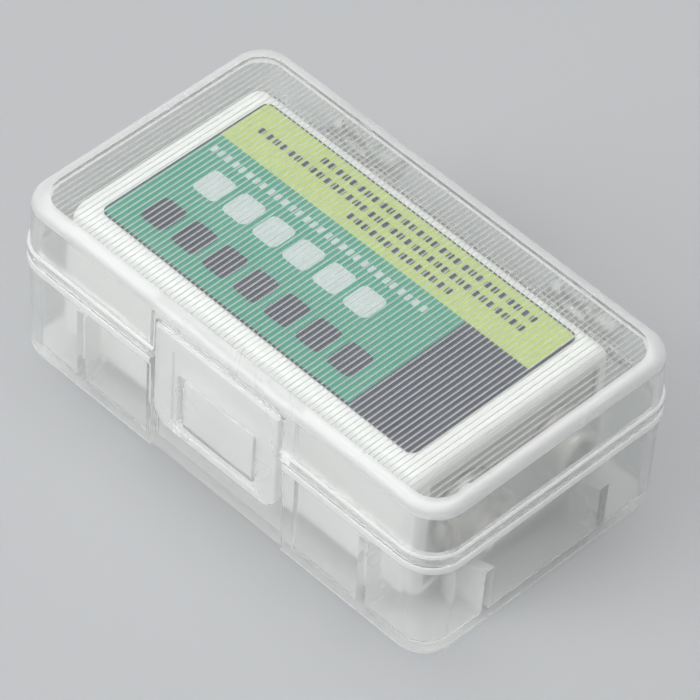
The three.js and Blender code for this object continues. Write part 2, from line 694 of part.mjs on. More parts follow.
function battery() {
  const group = new THREE.Group();
  group.add(piece("battery_jacket", jacket(), WHITE_FILM));
  group.add(piece("battery_label", label(), PRINTED_FILM));
  group.add(piece("battery_end_plate", plate(JACKET_WALL + PLATE_GAP / 2, PLATE_THICKNESS), BOARD));
  group.add(piece("terminal_board", terminalBoard(), BOARD));
  group.add(piece("positive_stud", positiveStud(), NICKEL));
  group.add(piece("negative_socket", negativeSocket(), NICKEL));
  group.add(piece("positive_rivet", rivet(TERMINAL_SPACING / 2), NICKEL));
  group.add(piece("negative_rivet", rivet(-TERMINAL_SPACING / 2), NICKEL));
  group.add(piece("lead_strip", leadStrip(), NICKEL));
  const lowerPad = CELL_START - 3 * PLATE_GAP - STRIP_THICKNESS - PAD_THICKNESS;
  group.add(piece("lower_pad", insulatingPad(lowerPad), PAD));
  group.add(piece("upper_pad", insulatingPad(CELLS_TOP), PAD));
  for (let i = 0; i < CELL_COUNT; i++) group.add(piece(`cell_${i + 1}`, cell(i), STEEL));
  const width = new THREE.Vector3(0, 1, 0);
  const thickness = new THREE.Vector3(0, 0, 1);
  const length = new THREE.Vector3(1, 0, 0);
  group.quaternion.setFromRotationMatrix(new THREE.Matrix4().makeBasis(width, thickness, length));
  group.position.set(BATTERY_START, 0, BATTERY_BOTTOM + BATTERY_THICKNESS / 2);
  return group;
}

const batteryCase = new THREE.Group();
batteryCase.add(piece("tray_base", trayBase(), CLEAR_PLASTIC));
batteryCase.add(piece("lid_shell", lidShell(), CLEAR_PLASTIC));
batteryCase.add(piece("latch_flap", latchFlap(), CLEAR_PLASTIC));
hingePlaces().forEach((x, i) => {
  batteryCase.add(piece(["hinge_pin_left", "hinge_pin_right"][i], hingePin(x), STEEL));
});
batteryCase.add(battery());

export default batteryCase;
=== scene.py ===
"""Dresses a packed battery case: frosted shells, a snap flap and the block battery inside."""

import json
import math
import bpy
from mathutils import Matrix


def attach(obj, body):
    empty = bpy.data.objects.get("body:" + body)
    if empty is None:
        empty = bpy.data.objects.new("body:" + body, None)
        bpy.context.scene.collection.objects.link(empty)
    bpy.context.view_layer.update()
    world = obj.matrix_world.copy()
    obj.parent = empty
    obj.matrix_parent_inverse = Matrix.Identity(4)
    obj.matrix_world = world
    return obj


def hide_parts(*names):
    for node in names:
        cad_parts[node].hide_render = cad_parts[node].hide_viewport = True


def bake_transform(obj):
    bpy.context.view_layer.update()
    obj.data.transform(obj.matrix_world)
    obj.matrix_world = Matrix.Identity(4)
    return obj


bl_info = {
    "name": "Battery Case",
    "version": (1, 0, 0),
    "blender": (4, 5, 0),
    "location": "3D View > Sidebar > Battery Case",
    "description": "Models a frosted case with a reeded lid and the block battery that it holds",
    "category": "Object",
}

import bmesh
import bpy
from bpy.props import FloatProperty, FloatVectorProperty, IntProperty, PointerProperty
from bpy.types import Operator, Panel, PropertyGroup
from mathutils import Matrix, Vector

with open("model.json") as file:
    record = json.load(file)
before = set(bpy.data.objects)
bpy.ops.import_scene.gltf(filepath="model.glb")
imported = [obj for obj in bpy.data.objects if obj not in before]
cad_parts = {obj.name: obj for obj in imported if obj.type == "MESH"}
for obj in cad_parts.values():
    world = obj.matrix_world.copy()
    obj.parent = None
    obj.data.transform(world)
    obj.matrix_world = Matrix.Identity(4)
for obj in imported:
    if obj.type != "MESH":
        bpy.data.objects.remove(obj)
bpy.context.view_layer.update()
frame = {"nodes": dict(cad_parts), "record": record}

MM = 0.001
TOUCH = 1e-6  # two points closer than this are one
PAST = 2 * MM  # how far a cutter runs beyond what it cuts
SMOOTH_ANGLE = math.radians(32)
ROUND_STEPS = 48  # sides of a round piece
FLAP_GAP = 0.15 * MM  # between the flap's top edge and the lid
LABEL_RISE = 0.2 * MM  # from the film up to the label's face
FOOT_DEPTH = 0.4 * MM  # how deep the foot of a terminal sits in the battery


# Colours and sizes that a user would change


def linear(code):
    """Turns an sRGB hex code into the linear colour that shaders take."""
    channels = [int(code[i : i + 2], 16) / 255 for i in (1, 3, 5)]
    return [c / 12.92 if c <= 0.04045 else ((c + 0.055) / 1.055) ** 2.4 for c in channels]


def size(label, description, millimetres):
    return FloatProperty(
        name=label, description=description, default=millimetres * MM, unit="LENGTH", precision=5
    )


def tint(label, description, code):
    return FloatVectorProperty(
        name=label, description=description, default=linear(code), subtype="COLOR", size=3
    )


class CaseSizes(PropertyGroup):
    length: size("Length", "Outside length over the rim", 58)
    width: size("Width", "Outside width over the rim", 34)
    height: size("Height", "Height of the closed case", 21)
    corner: size("Corner radius", "Radius of the rim's corners", 4.1)
    wall: size("Wall", "Thickness of floor and top", 1.2)
    rim_top: size("Tray rim", "Height of the tray's rim", 13.45)
    rim_bottom: size("Lid rim", "Height of the lid's rim", 13.75)
    tray_bead: size("Tray bead", "Height of the bead below the parting", 1)
    lid_bead: size("Lid bead", "Height of the bead above the parting", 1.25)
    bead_proud: size("Bead stands proud", "How far the beads stand out from the walls", 0.25)
    bead_edge: size("Bead edge", "Rounding of the beads", 0.12)
    lip: size("Lip", "Thickness of the lid's lip", 0.65)
    tongue_inset: size("Tongue inset", "From the rim's outside to the tray's tongue", 0.95)
    tongue: size("Tongue height", "Height of the tray's tongue", 1)
    cavity_inset: size("Cavity inset", "From the rim's outside to the inside of the walls", 1.5)
    bottom_radius: size("Bottom edge", "Radius of the edge round the underside", 1)
    top_radius: size("Top edge", "Radius of the edge round the lid's top", 1.3)
    tray_inner_radius: size("Tray inner edge", "Radius of the edges inside the tray", 0.8)
    lid_inner_radius: size("Lid inner edge", "Radius of the edges inside the lid", 0.2)
    base_draft: size("Tray draft", "How far the tray's walls lean in", 0.25)
    lid_draft: size("Lid draft", "How far the lid's walls lean in", 0.1)
    panel_length: size("Reeded panel length", "Length of the reeded panel", 54)
    panel_width: size("Reeded panel width", "Width of the reeded panel", 29.9)
    cradle_place: size("Cradle rib place", "Distance of each cradle rib from the middle", 19.5)
    stop_place: size("End rib place", "Distance of each end rib from the middle", 7.8)
    panel_corner: size("Reeded panel corner", "Corner radius of the reeded panel", 2.8)
    matt_margin: size("Matt edge", "From the reeded panel out to the matt edge of the top", 0.15)
    reed_pitch: size("Reed pitch", "From one groove to the next", 0.615)
    reed_depth: size("Reed depth", "Depth of a groove", 0.12)
    reed_top: size("Groove width", "Width of a groove at the surface", 0.2)
    reed_floor: size("Groove floor", "Width of a groove's floor", 0.06)
    corner_segments: IntProperty(
        name="Corner segments", description="Steps round each corner", default=14, min=3
    )


class LatchSizes(PropertyGroup):
    width: size("Flap width", "Width of the flap", 16.9)
    bottom: size("Flap bottom", "Height of the flap's lower edge", 5.65)
    top: size("Flap top", "Height of the flap's upper edge", 18.85)
    thickness: size("Flap thickness", "Thickness of the flap", 1)
    corner: size("Flap corner", "Radius of the flap's lower corners", 2.2)
    window_width: size("Window width", "Width of the window that hooks on the catch", 10.8)
    window_bottom: size("Window bottom", "Lower edge of the window", 6.75)
    window_top: size("Window top", "Upper edge of the window", 14)
    dish_width: size("Dish width", "Width of the thumb dish", 11.9)
    dish_top: size("Dish top", "Upper edge of the thumb dish", 17.2)
    dish_depth: size("Dish depth", "Depth of the thumb dish", 0.25)
    recess_face: size("Recess face", "From the middle plane to the wall behind the flap", 15.7)
    recess_wall: size("Recess wall", "Thickness of the wall behind the flap", 1.1)
    lid_recess: size("Lid recess", "Width of the lid's recess", 17.5)
    tray_recess: size("Tray recess", "Width of the tray's recess", 18.2)
    catch_width: size("Catch width", "Width of the tray's catch", 9.6)
    catch_tip: size("Catch tip", "From the middle plane to the catch's tip", 16.5)


class HingeSizes(PropertyGroup):
    y: size("Axis y", "Hinge axis behind the middle plane", 18.8)
    z: size("Axis z", "Height of the hinge axis", 13.75)
    knuckle: size("Knuckle radius", "Outside radius of knuckles and lugs", 1.5)
    pin: size("Pin radius", "Radius of the wire pins", 0.7)
    clearance: size("Pin clearance", "Play round the pins", 0.1)
    spacing: size("Spacing", "From one hinge to the other", 30)
    lug_width: size("Lug width", "Width of a lid lug", 3.4)
    knuckle_width: size("Knuckle width", "Width of a tray knuckle", 2.3)
    side_gap: size("Side gap", "Play between a lug and a knuckle", 0.3)


class BatterySizes(PropertyGroup):
    start: size("Blind end", "Where the battery's blind end is", -25)
    length: size("Length", "Length of the battery's body", 48)
    width: size("Width", "Width of the battery", 26)
    thickness: size("Thickness", "Thickness of the battery", 16.3)
    bottom: size("Underside", "Height of the battery's underside", 2.6)
    corner: size("Corner radius", "Radius of the long edges", 1.8)
    terminal_offset: size("Terminal offset", "From the middle to each terminal", 6.35)
    terminal_height: size("Terminal height", "How far the terminals stand out", 2.2)


class CaseColours(PropertyGroup):
    plastic: tint("Plastic", "Natural polypropylene", "#f6f7f6")
    film: tint("Film", "White shrink film of the battery", "#f4f5f3")
    teal: tint("Teal ink", "Main field of the label", "#2f9a80")
    lime: tint("Lime ink", "Side band of the label", "#b9cc74")
    navy: tint("Navy ink", "End block of the label", "#34364c")
    pale: tint("Pale ink", "Blocks and rules on the label", "#c9d4d4")
    floor: tint("Floor", "Studio floor", "#c4c6c8")


# Shared modelling steps


def only(piece):
    """Leaves one object selected and active."""
    bpy.ops.object.select_all(action="DESELECT")
    piece.select_set(True)
    bpy.context.view_layer.objects.active = piece
    return piece


def settle(piece):
    """Puts a piece's place into its mesh."""
    only(piece)
    bpy.ops.object.transform_apply(location=True, rotation=True, scale=True)
    return piece


def plane(name, length, width, centre):
    """A flat rectangle, to be shaped further."""
    bpy.ops.object.select_all(action="DESELECT")
    bpy.ops.mesh.primitive_plane_add(size=1, location=centre)
    piece = bpy.context.object
    piece.name = name
    piece.scale = (length, width, 1)
    return settle(piece)


def block(name, low, high):
    """A box between two corners, to be shaped further."""
    bpy.ops.object.select_all(action="DESELECT")
    centre = [(a + b) / 2 for a, b in zip(low, high)]
    bpy.ops.mesh.primitive_cube_add(size=1, location=centre)
    piece = bpy.context.object
    piece.name = name
    piece.scale = [b - a for a, b in zip(low, high)]
    return settle(piece)


def rod(name, radius, start, end, y, z):
    """A round bar along X."""
    bpy.ops.object.select_all(action="DESELECT")
    bpy.ops.mesh.primitive_cylinder_add(
        vertices=ROUND_STEPS,
        radius=radius,
        depth=end - start,
        location=((start + end) / 2, y, z),
        rotation=(0, math.pi / 2, 0),
    )
    piece = bpy.context.object
    piece.name = name
    return settle(piece)


def pick(kind, test):
    """In edit mode, selects the edges or faces that pass a test."""
    bpy.ops.mesh.select_mode(type={"edges": "EDGE", "faces": "FACE"}[kind])
    bpy.ops.mesh.select_all(action="DESELECT")
    mesh = bmesh.from_edit_mesh(bpy.context.object.data)
    for element in getattr(mesh, kind):
        if test(element):
            element.select_set(True)
    mesh.select_flush_mode()
    bmesh.update_edit_mesh(bpy.context.object.data)


def middle(element):
    """Middle of an edge or a face."""
    points = [v.co for v in element.verts]
    return sum(points, Vector()) / len(points)


def runs_along(edge, axis):
    """True if an edge is parallel to an axis."""
    direction = edge.verts[1].co - edge.verts[0].co
    return abs(direction[axis]) > 0.999 * direction.length


def extrude(step):
    """In edit mode, extrudes what is selected by a step."""
    bpy.ops.mesh.extrude_region_move(TRANSFORM_OT_translate={"value": step})


def divide(point, normal):
    """In edit mode, divides the selected faces along a plane."""
    bpy.ops.mesh.bisect(plane_co=point, plane_no=normal, threshold=TOUCH)


def modify(piece, kind, **settings):
    """Adds a modifier to a piece, sets it and applies it."""
    only(piece)
    bpy.ops.object.modifier_add(type=kind)
    modifier = piece.modifiers[-1]
    for name, value in settings.items():
        setattr(modifier, name, value)
    bpy.ops.object.modifier_apply(modifier=modifier.name)


def repeat(piece, count, pitch):
    """Repeats a piece along X."""
    modify(
        piece,
        "ARRAY",
        count=count,
        use_relative_offset=False,
        use_constant_offset=True,
        constant_offset_displace=(pitch, 0, 0),
    )


def combine(piece, other, operation):
    """Joins, cuts or intersects a piece with another, which is used up."""
    modify(piece, "BOOLEAN", operation=operation, object=other, solver="EXACT")
    bpy.data.objects.remove(other)


def cut(piece, other):
    combine(piece, other, "DIFFERENCE")


def join(piece, other):
    combine(piece, other, "UNION")


def round_edges(piece, test, radius, segments):
    """Rounds the edges that pass a test."""
    only(piece)
    bpy.ops.object.mode_set(mode="EDIT")
    pick("edges", test)
    bpy.ops.mesh.bevel(offset=radius, segments=segments, profile=0.5, affect="EDGES")
    bpy.ops.object.mode_set(mode="OBJECT")


def round_outline(radius, segments):
    """In edit mode, rounds the corners of a flat piece and selects its face."""
    bpy.ops.mesh.select_all(action="SELECT")
    bpy.ops.mesh.bevel(offset=radius, segments=segments, affect="VERTICES")
    bpy.ops.mesh.select_mode(type="FACE")
    bpy.ops.mesh.select_all(action="SELECT")


def rise(levels):
    """Grows the selected cap through levels of (height, inset)."""
    for (z, inset), (next_z, next_inset) in zip(levels, levels[1:]):
        if abs(next_inset - inset) < TOUCH:
            extrude((0, 0, next_z - z))
        else:
            bpy.ops.mesh.inset(thickness=next_inset - inset, depth=abs(next_z - z))


def loft(name, length, width, radius, levels, segments):
    """A rounded block whose outline is drawn in by an inset at each height, from the lowest up.

    The widest outline comes twice, one above the other, and the block grows from there both ways.
    """
    widest = min(range(len(levels)), key=lambda i: levels[i][1])
    (z, inset), (next_z, _) = levels[widest : widest + 2]
    piece = plane(name, length - 2 * inset, width - 2 * inset, (0, 0, z))
    bpy.ops.object.mode_set(mode="EDIT")
    round_outline(radius - inset, segments)
    extrude((0, 0, next_z - z))
    bpy.ops.mesh.select_all(action="SELECT")
    bpy.ops.mesh.normals_make_consistent(inside=False)
    for start, way, path in ((next_z, 1, levels[widest + 1 :]), (z, -1, levels[widest::-1])):
        cap = lambda face: face.normal.z * way > 0.5 and abs(middle(face).z - start) < TOUCH
        pick("faces", cap)
        rise(path)
    bpy.ops.object.mode_set(mode="OBJECT")
    return piece


def quarter(z, inset, radius, way, steps):
    """Levels of a rounded edge, from the wall at an inset to the face at height z.

    way is 1 for a top and -1 for an underside.
    """
    levels = []
    for i in range(steps + 1):
        angle = i / steps * math.pi / 2
        rise_by = radius * (1 - math.sin(angle))
        levels.append((z - way * rise_by, inset + radius * (1 - math.cos(angle))))
    return levels


def turned(name, profile, place):
    """A turned piece: a profile of (radius, height) spun upright, then laid along X at a place."""
    piece = plane(name, MM, MM, (0, 0, 0))
    bpy.ops.object.mode_set(mode="EDIT")
    bpy.ops.mesh.select_mode(type="VERT")
    bpy.ops.mesh.select_all(action="SELECT")
    bpy.ops.mesh.merge(type="CENTER")
    at = Vector()
    for radius, height in profile:
        step = Vector((radius, 0, height)) - at
        if at == Vector():
            bpy.ops.transform.translate(value=step)
        else:
            extrude(step)
        at += step
    bpy.ops.mesh.select_all(action="SELECT")
    bpy.ops.mesh.spin(steps=ROUND_STEPS, angle=math.tau, center=(0, 0, 0), axis=(0, 0, 1))
    bpy.ops.mesh.select_all(action="SELECT")
    bpy.ops.mesh.remove_doubles(threshold=TOUCH)
    bpy.ops.mesh.normals_make_consistent(inside=False)
    bpy.ops.object.mode_set(mode="OBJECT")
    piece.matrix_world = Matrix.Translation(place) @ Matrix.Rotation(math.pi / 2, 4, "Y")
    return settle(piece)


def slope_trim(piece, first, second):
    """Cuts off what lies right of the line from one (y, z) point to another, and closes the cut."""
    y, z = second[0] - first[0], second[1] - first[1]
    return trim(piece, (0, first[0], first[1]), (0, z, -y))


def trim(piece, point, normal):
    """Cuts off what lies beyond a plane and closes the cut."""
    only(piece)
    bpy.ops.object.mode_set(mode="EDIT")
    bpy.ops.mesh.select_all(action="SELECT")
    bpy.ops.mesh.bisect(
        plane_co=point, plane_no=normal, use_fill=True, clear_outer=True, threshold=TOUCH
    )
    bpy.ops.object.mode_set(mode="OBJECT")
    return piece


def complete(piece, finishes, body, slot, *nodes):
    """Smooths a finished piece, gives it its finishes by name and hands it over."""
    only(piece)
    bpy.ops.object.shade_smooth_by_angle(angle=SMOOTH_ANGLE)
    modify(piece, "WEIGHTED_NORMAL", keep_sharp=True)
    piece.data.materials.clear()
    for name in finishes:
        piece.data.materials.append(finish(name))
    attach(piece, body)
    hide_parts(*nodes)
    return piece


# Materials

MIDDLE_OF_NOISE = {"From Min": 0.3, "From Max": 0.7}  # most of a noise lies between these
CLOUD = 5 * MM  # width of the cloudiness in the moulded plastic
MOULD_GRAIN = 0.35 * MM  # the real grain is finer, and is drawn as coarse as it needs to show
LAMP_LIGHT = (0.96, 0.96, 0.96, 1)  # share of the lamps' light that a wall lets through

# How clear a moulding is, how rough, and how much light scatters inside it
PLASTICS = {
    # Walls from a fine mould: see-through, faintly cloudy
    "moulded_polypropylene": (0.85, 0.12, 0),
    # The panel between its grooves, from a polished mould: nearly clear
    "polished_polypropylene": (0.96, 0.05, 0),
    # The flap, the ribs and the top's edge, from a matt mould: frosted and whitish
    "frosted_polypropylene": (0.4, 0.3, 0.7),
    # The beads and the edge round the underside: milky white where they catch light
    "milky_polypropylene": (0.2, 0.35, 0.7),
    # The grooves' sides: fine white lines
    "reeded_polypropylene": (0.2, 0.35, 0),
}

# For each finish with a pattern: its hex code or the case colour it takes, how far that changes,
# the pattern's width in mm, detail and scale along Y, the roughness from and to, the depth in mm
# and the strength of the dents, and settings that are the same all over
INK = (0.08, (0.5, 3, 1), (0.28, 0.38), None, {"IOR": 1.5})
BOARD = ((0.6, 0.85), (0.03, 0.3), {"IOR": 1.5})
METAL = ((0.01, 0.1), {"Metallic": 1})
GLOSS = {"IOR": 1.53, "Coat Weight": 0.2, "Coat Roughness": 0.1}
PATTERNED = {
    # White PVC film shrunk on by heat: glossy, with faint ripples
    "white_shrink_film": ("film", 0.02, (3, 1, 1), (0.3, 0.42), (0.06, 0.25), GLOSS),
    # Ink printed on film: even, with the slight mottle of a wet print under a gloss
    "teal_ink": ("teal", *INK),
    "lime_ink": ("lime", *INK),
    "navy_ink": ("navy", *INK),
    "pale_ink": ("pale", *INK),
    # Nickel-plated sheet: bright and a little soft, with fine marks from pressing
    "nickel_plated_steel": ("#e8e7e4", 0.06, (0.8, 3, 1), (0.288, 0.45), *METAL),
    # Drawn wire: bright, with the finest marks
    "drawn_wire": ("#d6d8db", 0.06, (0.3, 3, 1), (0.32, 0.5), *METAL),
    # Cans drawn deep from plated sheet: greyer, with broad marks
    "deep_drawn_can": ("#b4b6b8", 0.06, (1.2, 3, 1), (0.28, 0.4375), *METAL),
    # Pressed board and card: dull, with fibres that run along Y
    "pressed_grey_board": ("#c4c4c2", 0.12, (0.6, 4, 0.35), *BOARD),
    "insulating_card": ("#d8d2bd", 0.12, (0.8, 4, 0.35), *BOARD),
    # Matt background paper, its tooth drawn coarser than it is so that it shows
    "studio_paper": ("floor", 0.01, (1.5, 4, 1), (0.75, 0.9), None, {}),
}


def add_node(tree, kind, settings=None, links=None):
    """Adds a node with its settings and the links into it."""
    node = tree.nodes.new(kind)
    for name, value in (settings or {}).items():
        if isinstance(name, int) or name in node.inputs:
            node.inputs[name].default_value = value
        else:
            setattr(node, name, value)
    for name, socket in (links or {}).items():
        tree.links.new(socket, node.inputs[name])
    return node


def fresh_material(name):
    """A material with an empty tree, and its place on the piece."""
    material = bpy.data.materials.new(name)
    material.use_nodes = True
    tree = material.node_tree
    tree.nodes.clear()
    place = add_node(tree, "ShaderNodeTexCoord").outputs["Object"]
    return material, tree, place


def moulded(name, colour, clearness, dullness, haze):
    """Natural polypropylene, injection moulded: see-through but milky, more so where it is matt."""
    material, tree, place = fresh_material(name)
    cloud, grain = [
        add_node(
            tree, "ShaderNodeTexNoise", {"Scale": 1 / width, "Detail": 2}, {"Vector": place}
        ).outputs["Fac"]
        for width in (CLOUD, MOULD_GRAIN)
    ]
    cloudy = {
        "Transmission Weight": (clearness - 0.01, clearness + 0.01),
        "Roughness": (dullness * 0.85, dullness * 1.15),
    }
    links = {
        socket: add_node(
            tree,
            "ShaderNodeMapRange",
            {**MIDDLE_OF_NOISE, "To Min": low, "To Max": high},
            {"Value": cloud},
        ).outputs["Result"]
        for socket, (low, high) in cloudy.items()
    }
    links["Normal"] = add_node(
        tree, "ShaderNodeBump", {"Strength": 0.12, "Distance": 0.01 * MM}, {"Height": grain}
    ).outputs["Normal"]
    settings = {
        "Base Color": (*colour, 1),
        "IOR": 1.49,
        "Subsurface Weight": haze,
        "Subsurface Radius": (1, 1, 1),
        "Subsurface Scale": 1.5 * MM,
    }
    plastic = add_node(tree, "ShaderNodeBsdfPrincipled", settings, links)
    lamp = add_node(tree, "ShaderNodeLightPath").outputs["Is Shadow Ray"]
    through = add_node(tree, "ShaderNodeBsdfTransparent", {"Color": LAMP_LIGHT})
    sides = {0: lamp, 1: plastic.outputs["BSDF"], 2: through.outputs["BSDF"]}
    shader = add_node(tree, "ShaderNodeMixShader", links=sides).outputs[0]
    add_node(tree, "ShaderNodeOutputMaterial", links={"Surface": shader})
    return material


def patterned(name, colour, change, pattern, rough, relief, settings):
    """A finish whose colour, gloss and dents follow one pattern."""
    material, tree, place = fresh_material(name)
    width, detail, along_y = pattern
    if along_y != 1:
        place = add_node(
            tree, "ShaderNodeMapping", {"Scale": (1, along_y, 1)}, {"Vector": place}
        ).outputs["Vector"]
    noise = add_node(
        tree, "ShaderNodeTexNoise", {"Scale": 1 / (width * MM), "Detail": detail}, {"Vector": place}
    ).outputs["Fac"]
    dark = [c * (1 - change) for c in colour]
    light = [min(1, c * (1 + change)) for c in colour]
    shade = {"data_type": "RGBA", 6: (*dark, 1), 7: (*light, 1)}
    dullness = {**MIDDLE_OF_NOISE, "To Min": rough[0], "To Max": rough[1]}
    links = {
        "Base Color": add_node(tree, "ShaderNodeMix", shade, {0: noise}).outputs[2],
        "Roughness": add_node(
            tree, "ShaderNodeMapRange", dullness, {"Value": noise}
        ).outputs["Result"],
    }
    if relief:
        dents = {"Strength": relief[1], "Distance": relief[0] * MM}
        links["Normal"] = add_node(
            tree, "ShaderNodeBump", dents, {"Height": noise}
        ).outputs["Normal"]
    shader = add_node(tree, "ShaderNodeBsdfPrincipled", settings, links).outputs["BSDF"]
    add_node(tree, "ShaderNodeOutputMaterial", links={"Surface": shader})
    return material


def finish(name):
    """The material of that name, made on first use."""
    if name in bpy.data.materials:
        return bpy.data.materials[name]
    colours = bpy.context.scene.case_colours
    if name in PLASTICS:
        return moulded(name, colours.plastic, *PLASTICS[name])
    colour, *look = PATTERNED[name]
    colour = linear(colour) if colour.startswith("#") else getattr(colours, colour)
    return patterned(name, colour, *look)


# Pieces of the case


def recess(name, width, low, high, deep):
    """A box at the front: the space for the flap, or with deep the block of wall behind it."""
    case, latch = bpy.context.scene.case_sizes, bpy.context.scene.latch_sizes
    corner = 0.4 * MM
    if deep:
        half = width / 2 + latch.recess_wall
        back = -(latch.recess_face - latch.recess_wall)
        front = -case.width / 2 + case.bead_proud
    else:
        half = width / 2
        back = -latch.recess_face
        front = -case.width
    piece = block(name, (-half, front, low), (half, back, high))
    upright = lambda e: runs_along(e, 2) and abs(middle(e).y - back) < TOUCH
    round_edges(piece, upright, corner, 4)
    return piece


def hinge_places():
    spacing = bpy.context.scene.hinge_sizes.spacing
    return (-spacing / 2, spacing / 2)


def hinge_reach():
    """From the middle of a hinge to its ends."""
    hinge = bpy.context.scene.hinge_sizes
    return hinge.lug_width / 2 + hinge.side_gap + hinge.knuckle_width


def pin_bore(x):
    """The hole through one hinge's knuckles and lug."""
    hinge = bpy.context.scene.hinge_sizes
    reach = hinge_reach() + PAST
    return rod("bore", hinge.pin + hinge.clearance, x - reach, x + reach, hinge.y, hinge.z)


def hinge_arm(start, end, way):
    """A knuckle on its gusset: way is -1 on the tray, below the parting, and 1 on the lid."""
    case, hinge = bpy.context.scene.case_sizes, bpy.context.scene.hinge_sizes
    sunk, past_axis, gusset, tip_height, edge = 0.6 * MM, 1.2 * MM, 4.5 * MM, 0.75 * MM, 0.12 * MM
    wall = case.width / 2 - case.bead_proud - sunk
    foot = case.rim_top if way < 0 else case.rim_bottom
    tip = hinge.y + past_axis
    far = foot + way * gusset
    arm = block("arm", (start, wall, min(foot, far)), (end, tip, max(foot, far)))
    slope = ((wall, far), (tip, hinge.z + way * tip_height))
    slope_trim(arm, *(slope if way < 0 else slope[::-1]))
    knuckle = rod("knuckle", hinge.knuckle, start, end, hinge.y, hinge.z)
    ends = lambda e: abs(abs(middle(e).x - (start + end) / 2) - (end - start) / 2) < TOUCH
    round_edges(knuckle, ends, edge, 2)
    join(knuckle, arm)
    return knuckle


def catch():
    """The tray's catch: a wedge that the flap's window snaps over."""
    latch = bpy.context.scene.latch_sizes
    top, shoulder, hook, root = 13.2 * MM, 11 * MM, 7.05 * MM, 6.9 * MM
    sunk, slope_start, off_wall, edge = 0.5 * MM, 0.5 * MM, 0.02 * MM, 0.12 * MM
    face, tip = -latch.recess_face, -latch.catch_tip
    half = latch.catch_width / 2
    wedge = block("catch", (-half, tip, root), (half, face + sunk, top))
    slope_trim(wedge, (face - slope_start, top), (tip, shoulder))
    slope_trim(wedge, (tip, hook), (face, root))
    round_edges(wedge, lambda e: middle(e).y < face - off_wall, edge, 3)
    return wedge


def cradle_rib(x):
    """A cross rib that carries the battery and holds it between two uprights."""
    case = bpy.context.scene.case_sizes
    wall = case.width / 2 - case.wall
    half, corner = 0.6 * MM, 0.8 * MM
    clear, low, shoulder, top = 13.3 * MM, 2.5 * MM, 9.6 * MM, 11 * MM
    rib = block("rib", (x - half, -wall, case.wall / 2), (x + half, wall, top))
    gap = block("gap", (x - 2 * half, -clear, low), (x + 2 * half, clear, shoulder))
    bpy.ops.object.mode_set(mode="EDIT")
    pick("faces", lambda face: face.normal.z > 0.5)
    extrude((0, 0, top - shoulder))
    bpy.ops.transform.resize(value=(1, (wall - case.bead_proud) / clear, 1))
    extrude((0, 0, PAST))
    bpy.ops.object.mode_set(mode="OBJECT")
    floor_corner = lambda e: runs_along(e, 0) and abs(middle(e).z - low) < TOUCH
    round_edges(gap, floor_corner, corner, 4)
    cut(rib, gap)
    return rib


def end_rib(reach, wall, y):
    """A rib on a short wall that stops the battery's end, with a sloping lead-in."""
    case = bpy.context.scene.case_sizes
    half, top, lead = 0.6 * MM, 7.6 * MM, 1.4 * MM
    rib = block(
        "end_rib", (min(reach, wall), y - half, case.wall / 2), (max(reach, wall), y + half, top)
    )
    outward = 1 if wall > reach else -1
    return trim(rib, (reach, 0, top - lead), (-outward * lead, 0, abs(wall - reach)))


def tray_shell():
    """The tray with its tongue, its recess for the flap, its ribs, its catch and its knuckles."""
    case, latch = bpy.context.scene.case_sizes, bpy.context.scene.latch_sizes
    hinge = bpy.context.scene.hinge_sizes
    clearance = 0.3 * MM
    stops = ((23.35 * MM, 1), (-25.35 * MM, -1))  # just clear of the battery's ends
    tongue_top = case.rim_top + case.tongue
    outside = quarter(0, case.bead_proud + case.base_draft, case.bottom_radius, -1, 8)[::-1]
    outside += quarter(case.rim_top - case.tray_bead, 0, case.bead_proud, -1, 3)[::-1]
    outside += quarter(case.rim_top, 0, case.bead_edge, 1, 3)
    outside += [(case.rim_top, case.tongue_inset)]
    outside += quarter(tongue_top, case.tongue_inset, case.bead_edge, 1, 2)
    shape = (case.length, case.width, case.corner)
    tray = loft("tray_shell", *shape, outside, case.corner_segments)
    floor_inset = case.cavity_inset + case.bead_edge
    inside = quarter(case.wall, floor_inset, case.tray_inner_radius, -1, 5)[::-1]
    inside += [(tongue_top, case.cavity_inset), (tongue_top + PAST, case.cavity_inset)]
    cavity = loft("cavity", *shape, inside, case.corner_segments)
    cut(cavity, recess("wall_block", latch.tray_recess, 0, case.rim_top, True))
    cut(tray, cavity)
    flap_space = recess("flap_space", latch.tray_recess, -PAST, case.height, False)
    cut(tray, flap_space)
    gap = latch.tray_recess / 2 + latch.recess_wall + clearance
    tongue_gap = block("gap", (-gap, -case.width, case.rim_top), (gap, 0, case.height))
    cut(tray, tongue_gap)
    for x in (-case.cradle_place, case.cradle_place):
        join(tray, cradle_rib(x))
    for reach, side in stops:
        wall = side * (case.length / 2 - case.wall)
        for y in (-case.stop_place, case.stop_place):
            join(tray, end_rib(reach, wall, y))
    join(tray, catch())
    near = hinge.lug_width / 2 + hinge.side_gap
    far = near + hinge.knuckle_width
    for x in hinge_places():
        join(tray, hinge_arm(x + near, x + far, -1))
        join(tray, hinge_arm(x - far, x - near, -1))
        cut(tray, pin_bore(x))
    return tray


